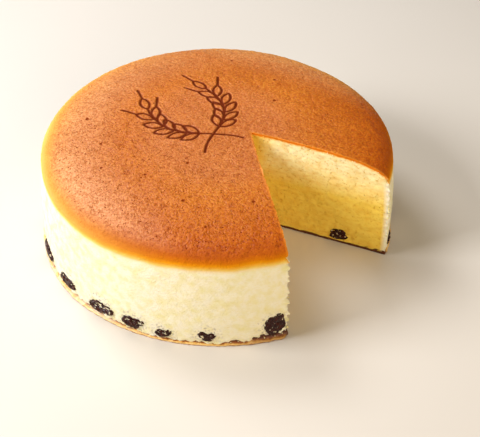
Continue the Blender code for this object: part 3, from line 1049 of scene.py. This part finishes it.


# Inside of the cake, laid open by a knife: pale yellow, matt and damp, with torn cells, and painted shade
# turning it deeper yellow low down and near the tip
def cutCrumbMaterial(name, tones, withEdges=False):
    material, add, place = newMaterial(name)
    cells = add("TexNoise", {"Vector": place, "Scale": perMm(sponge["cellGrain"]), "Detail": 4.0,
                             "Roughness": 0.65})
    hollow = add("MapRange", {"Value": cells, "From Min": 0.42, "From Max": 0.28})
    drawn = add("Mapping", {"Vector": place, "Scale": (0.45, 0.45, 1.0)})  # along the knife's strokes
    deep = patches(add, drawn, *sponge["streaks"])
    deep = add("Math", {0: patches(add, place, *sponge["cloud"]), 1: 0.35, 2: deep}, operation="MULTIPLY_ADD")
    # the cell hollows take the deeper gold too: painted shade in them
    deep = add("Math", {0: hollow, 1: 0.7, 2: deep}, operation="MULTIPLY_ADD", use_clamp=True)
    height = add("SeparateXYZ", {0: place}).outputs["Z"]
    level = add("VectorMath", {0: place, 1: (1.0, 1.0, 0.0)}, operation="MULTIPLY")
    out = add("VectorMath", {0: level, 1: (*(tip * mm), 0.0)}, operation="DISTANCE")
    # painted shade: the crumb turns deeper yellow below a height and near the tip
    low, nearTip = [add("MapRange", {"Value": value, "From Min": start * mm, "From Max": end * mm})
                    for value, (start, end) in ((height, sponge["paintedShadeHeights"]), (out, sponge["paintedShadeNearTip"]))]
    low = add("Math", {0: low, 1: nearTip}, operation="MAXIMUM")
    colour, lower, deeper = [sponge[tone] for tone in tones]
    for share, over in ((low, lower), (deep, deeper)):
        colour = add("Mix", {0: share, 6: colour, 7: over}, data_type="RGBA")
    if withEdges:
        colour = cutEdges(add, place, colour)
    form = add("Math", {0: cells, 1: -0.6, 2: hollow}, operation="MULTIPLY_ADD")
    bump = add("Bump", {"Height": form, "Strength": 0.7, "Distance": 0.40 * mm}, invert=True)
    finishSurface(add, {"Base Color": colour, "Roughness": 0.68, "Specular IOR Level": 0.12, "Normal": bump,
                        "Subsurface Weight": 0.20, "Subsurface Radius": (1.0, 0.7, 0.35),
                        "Subsurface Scale": 2.2 * mm})
    return material


skinTones = {  # by height in mm: darker at the very bottom as painted shade where it meets the table, a worn golden lip, then dark brown from frying, deepened as painted shade under the crumb's overhang
    "height": [(0.0, "#8a4a16"), (0.35, "#b8742c"), (0.70, "#eed090"), (1.15, "#d8a855"), (1.45, "#965218"),
               (1.90, "#703811"), (3.20, "#52260b")],
    "blotchGrain": 2.6,
    "blotchRise": 1.6,  # mm by which the blotches move those heights
    "flakeGrain": 1.1,
    "flake": "#e6c389",
    "torn": "#f3e0b4",
    "tornPart": (-150.0, 0.70, 1.0),  # where the skin tore off the crumb with it
    "tornAbove": (0.55, 0.85),
    # darker towards the right end of the side, next to the right cut: painted shade
    "rightEndDarker": "#cdbcaa",
    "rightEndPart": (-66.0, 0.93, 1.0),
    # the skin seen in section on the cuts: its own browned edge, darkened further as painted shade
    "onCut": "#55290f",
}


# Sponge that browned by frying in the buttered tin: thin, golden at its worn lower edge and dark brown above
# it, that brown and its bottom line deepened as painted shade
def baseSkinMaterial():
    material, add, place = newMaterial("brownedBaseSkin")
    height = add("SeparateXYZ", {0: place}).outputs["Z"]
    blotch, flake = [add("TexNoise", {"Vector": place, "Scale": perMm(skinTones[key]), "Detail": detail})
                     for key, detail in (("blotchGrain", 4.0), ("flakeGrain", 3.0))]
    blotch = add("Math", {0: blotch, 1: 0.5}, operation="SUBTRACT")
    shifted = add("Math", {0: blotch, 1: skinTones["blotchRise"] * mm, 2: height}, operation="MULTIPLY_ADD")
    flaked = add("MapRange", {"Value": flake, "From Min": 0.60, "From Max": 0.72, "To Max": 0.6})
    torn = add("MapRange", {"Value": blotch, "From Min": -0.10, "From Max": 0.06, "To Max": 0.70})
    start, end = skinTones["tornAbove"]
    above = add("MapRange", {"Value": height, "From Min": start * mm, "From Max": end * mm})
    for share in (across(add, place, skinTones["tornPart"]), above):
        torn = add("Math", {0: torn, 1: share}, operation="MULTIPLY")
    # painted shade darkening the skin towards the right end of the side
    rightEndDarker = across(add, place, skinTones["rightEndPart"])
    # darker skin along the cuts: its browned section plus painted shade
    cutSide = add("Attribute", attribute_name="cutSide").outputs["Fac"]
    # by height, with painted shade at the bottom line and up the band under the crumb's overhang
    colour = toned(add, shifted, skinTones["height"], mm)
    for share, code, blend in ((flaked, "flake", "MIX"), (torn, "torn", "MIX"), (rightEndDarker, "rightEndDarker", "MULTIPLY"),
                               (cutSide, "onCut", "MIX")):
        colour = add("Mix", {0: share, 6: colour, 7: skinTones[code]}, data_type="RGBA", blend_type=blend)
    bump = add("Bump", {"Height": flake, "Strength": 0.7, "Distance": 0.3 * mm})
    finishSurface(add, {"Base Color": colour, "Roughness": 0.38, "Specular IOR Level": 0.35, "Normal": bump})
    return material


raisinTones = {
    "skin": "#2a0b06",
    "ridge": "#532013",
    "ridgeGrain": 1.8,
    "bloom": "#4e3330",
    "batter": "#efe2bd",
    # patterns as in the sponge
    "bloomPatches": (2.0, 0.6, 0.8, 0.2, 5.0),
    "flecks": (1.5, 0.64, 0.68, 0.8),
}


# Dried grape skin, swollen in the batter: near black with a purple-brown cast, wet-looking on the ridges,
# with set batter left in the folds
def raisinSkinMaterial():
    material, add, place = newMaterial("raisinSkin")
    fold, proud = [add("Attribute", attribute_name=name).outputs["Fac"] for name in ("fold", "proud")]
    fine = add("TexNoise", {"Vector": place, "Scale": perMm(raisinTones["ridgeGrain"]), "Detail": 2.0,
                            "Distortion": 0.7})
    ridge = add("MapRange", {"Value": fine, "From Min": 0.5, "From Max": 0.75, "To Max": 0.8})
    bloom = patches(add, place, *raisinTones["bloomPatches"])
    shallow = add("MapRange", {"Value": proud, "From Min": 0.10, "From Max": -0.10})
    filled = add("Math", {0: shallow, 1: fold}, operation="MULTIPLY")
    batter = add("MapRange", {"Value": filled, "From Min": 0.25, "From Max": 0.5})
    batter = add("Math", {0: batter, 1: patches(add, place, *raisinTones["flecks"])}, operation="MAXIMUM")
    colour = raisinTones["skin"]
    for share, code in ((ridge, "ridge"), (bloom, "bloom"), (batter, "batter")):
        colour = add("Mix", {0: share, 6: colour, 7: raisinTones[code]}, data_type="RGBA")
    rough = add("MapRange", {"Value": bloom, "To Min": 0.12, "To Max": 0.28})
    bump = add("Bump", {"Height": fine, "Strength": 0.8, "Distance": 0.45 * mm})
    finishSurface(add, {"Base Color": colour, "Roughness": rough, "Specular IOR Level": 0.20, "Normal": bump})
    return material


def tableMaterial():  # smooth matt plaster, pale and nearly even
    material, add, place = newMaterial("palePlaster")
    cloud = add("TexNoise", {"Vector": place, "Scale": perMm(180.0), "Detail": 3.0})
    colour = add("Mix", {0: cloud, 6: "#cdc6bd", 7: "#d4cec6"}, data_type="RGBA")
    finishSurface(add, {"Base Color": colour, "Roughness": 0.6})
    return material


# Putting it together

raisinNodes = sorted(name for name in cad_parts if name.startswith("raisin_"))
skinSlot = raisinSkinMaterial()
raisinSpots = []
for number, node in enumerate(raisinNodes, start=1):
    piece, spot = makeRaisin(node, 2.3 * number)
    piece.data.materials.append(skinSlot)
    raisinSpots.append(spot)
    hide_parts(node)
    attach(piece, "root")
print("stage 1: raisins", len(raisinNodes))

body = makeCakeBody()
bm = bmesh.new()
bm.from_mesh(body.data)
bmesh.ops.recalc_face_normals(bm, faces=bm.faces[:])
pressMark(bm)
bm.to_mesh(body.data)
bm.free()
body.data.materials.append(bakedSkinMaterial())
crumbTones = ("crumb", "crumbPaintedShade", "crumbDeepAndHollowShade")
body.data.materials.append(cutCrumbMaterial("cutSpongeCrumb", crumbTones, withEdges=True))
addRelief(body.data, raisinSpots)
body.data.shade_smooth()
body.data.set_sharp_from_angle(angle=math.radians(cake["sharpAngle"]))
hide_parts("cheesecake")
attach(body, "root")
print("stage 2: cake body", len(body.data.vertices), "points")

skinPiece = makeBaseSkin()
skinPiece.data.materials.append(baseSkinMaterial())
crumbPiece = makeCrumbs()
crumbPiece.data.materials.append(cutCrumbMaterial("tornSpongeCrumb", crumbTones))
# the side crumbs take the painted shade, low down and near the tip, in the blotch colour
crumbPiece.data.materials.append(cutCrumbMaterial("tornSideCrumb", ("side", "sideLow", "sideLow")))
for piece in (skinPiece, crumbPiece):
    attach(piece, "root")
print("stage 3: base skin and torn crumbs")

studio = {
    "elevation": 41.59,  # degrees
    "distance": 600.0,
    "lens": 85.08,
    "roll": 0.42,
    "target": (11.77, 0.0, 0.12),
    "key": {"place": (-785.0, -167.0, 585.0), "size": 420.0, "watts": 11.5, "colour": "#fdfdff"},
    "back": {"place": (-400.0, 420.0, 750.0), "size": 380.0, "watts": 5.4, "colour": "#ffffff"},
    "fill": {"place": (480.0, -720.0, 520.0), "size": 700.0, "watts": 6.0, "colour": "#ffe8c2"},
    "sky": ("#f4f1ec", 0.16),
    "table": 4000.0,
}


def addCamera():
    data = bpy.data.cameras.new("camera")
    data.sensor_width = 36.0
    data.lens = studio["lens"]
    data.clip_start = 0.01
    camera = addPiece("camera", data)
    tilt = math.radians(studio["elevation"])
    back = Vector((0.0, -math.cos(tilt), math.sin(tilt)))
    place = (Vector(studio["target"]) + back * studio["distance"]) * mm
    camera.matrix_world = (Matrix.Translation(place) @ Matrix.Rotation(math.radians(90.0) - tilt, 4, "X")
                           @ Matrix.Rotation(math.radians(studio["roll"]), 4, "Z"))
    bpy.context.scene.camera = camera


def addLight(name):
    light = studio[name]
    data = bpy.data.lights.new(name, "AREA")
    data.size = light["size"] * mm
    data.energy = light["watts"]
    data.color = hexColour(light["colour"])[:3]
    lamp = addPiece(name, data)
    lamp.location = Vector(light["place"]) * mm
    lamp.rotation_euler = (-lamp.location).to_track_quat("-Z", "Y").to_euler()


addCamera()
for name in ("key", "back", "fill"):
    addLight(name)
world = bpy.data.worlds.new("paleStudio")
world.use_nodes = True
backdrop = world.node_tree.nodes["Background"]
backdrop.inputs["Color"].default_value = hexColour(studio["sky"][0])
backdrop.inputs["Strength"].default_value = studio["sky"][1]
bpy.context.scene.world = world
bpy.context.scene.view_settings.view_transform = "Standard"

bpy.ops.mesh.primitive_plane_add(size=studio["table"] * mm, location=(0.0, 0.0, 0.0))
table = bpy.context.object
table.name = "table"
table.data.materials.append(tableMaterial())
print("stage 4: camera, lights and table")
